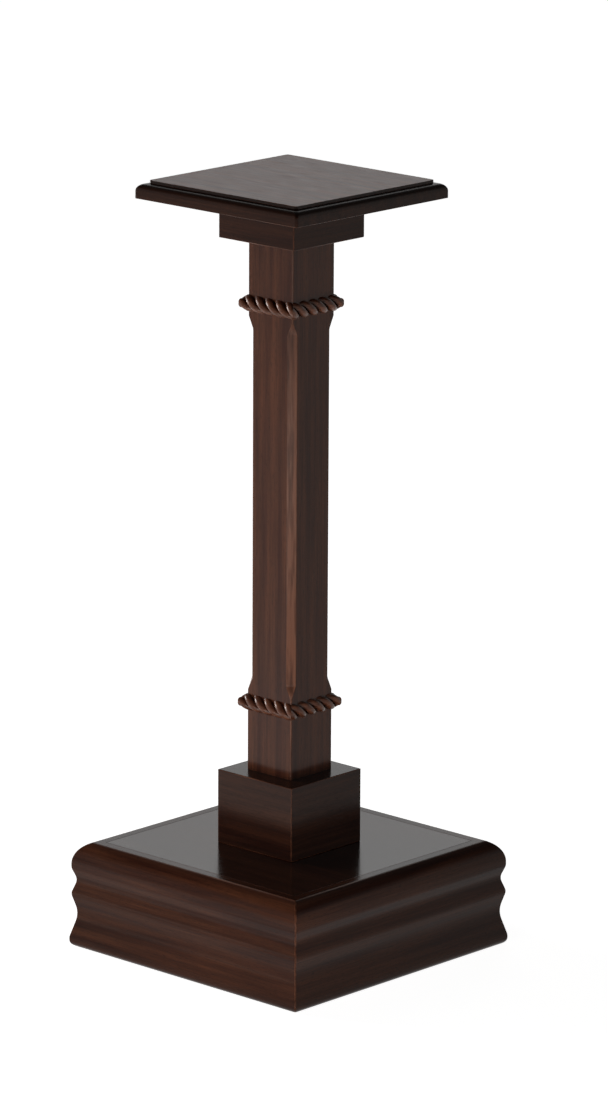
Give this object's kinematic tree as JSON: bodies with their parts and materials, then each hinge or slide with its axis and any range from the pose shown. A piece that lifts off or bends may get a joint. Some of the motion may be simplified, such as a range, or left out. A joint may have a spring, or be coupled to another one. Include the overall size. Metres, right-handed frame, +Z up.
{
  "type": "pedestal column stand",
  "caption": "Square dark wood pedestal stand: moulded top board, slim column with stop chamfers and rope bands, boxed plinth, low moulded base.",
  "frame": {"origin": "centre of the base's footprint, on the floor", "axes": "+Z up along the column; X and Y through the middles of the four sides"},
  "size_m": [0.3658, 0.3658, 0.9144],
  "materials": {
    "top_wood": "dark walnut stain under satin lacquer",
    "deck_wood": "dark walnut stain under satin lacquer",
    "capital_wood": "dark walnut stain under satin lacquer",
    "column_wood": "dark walnut stain under satin lacquer",
    "plinth_wood": "dark walnut stain under satin lacquer",
    "rope_wood": "carved, dark walnut stain rubbed back on the crests, satin lacquer",
    "base_wood": "dark walnut stain under satin lacquer",
    "inner_wood": "bare sawn softwood",
    "screw_steel": "zinc plated"
  },
  "bodies": {
    "root": {"base_deck": "deck_wood", "base_moulding_back": "base_wood", "base_moulding_front": "base_wood", "base_moulding_left": "base_wood", "base_moulding_right": "base_wood", "bolt_washer": "screw_steel", "capital_strip_back": "capital_wood", "capital_strip_front": "capital_wood", "capital_strip_left": "capital_wood", "capital_strip_right": "capital_wood", "column_foot_block": "inner_wood", "column_head_block": "inner_wood", "column_stave_back": "column_wood", "column_stave_front": "column_wood", "column_stave_left": "column_wood", "column_stave_right": "column_wood", "corner_block_back_left": "inner_wood", "corner_block_back_right": "inner_wood", "corner_block_front_left": "inner_wood", "corner_block_front_right": "inner_wood", "deck_cleat_back": "inner_wood", "deck_cleat_front": "inner_wood", "deck_cleat_left": "inner_wood", "deck_cleat_right": "inner_wood", "lag_bolt": "screw_steel", "lower_rope_back": "rope_wood", "lower_rope_front": "rope_wood", "lower_rope_left": "rope_wood", "lower_rope_right": "rope_wood", "plinth_board_back": "plinth_wood", "plinth_board_front": "plinth_wood", "plinth_board_left": "plinth_wood", "plinth_board_right": "plinth_wood", "top_board": "top_wood", "top_screws": "screw_steel", "upper_rope_back": "rope_wood", "upper_rope_front": "rope_wood", "upper_rope_left": "rope_wood", "upper_rope_right": "rope_wood"}
  },
  "joints": []
}
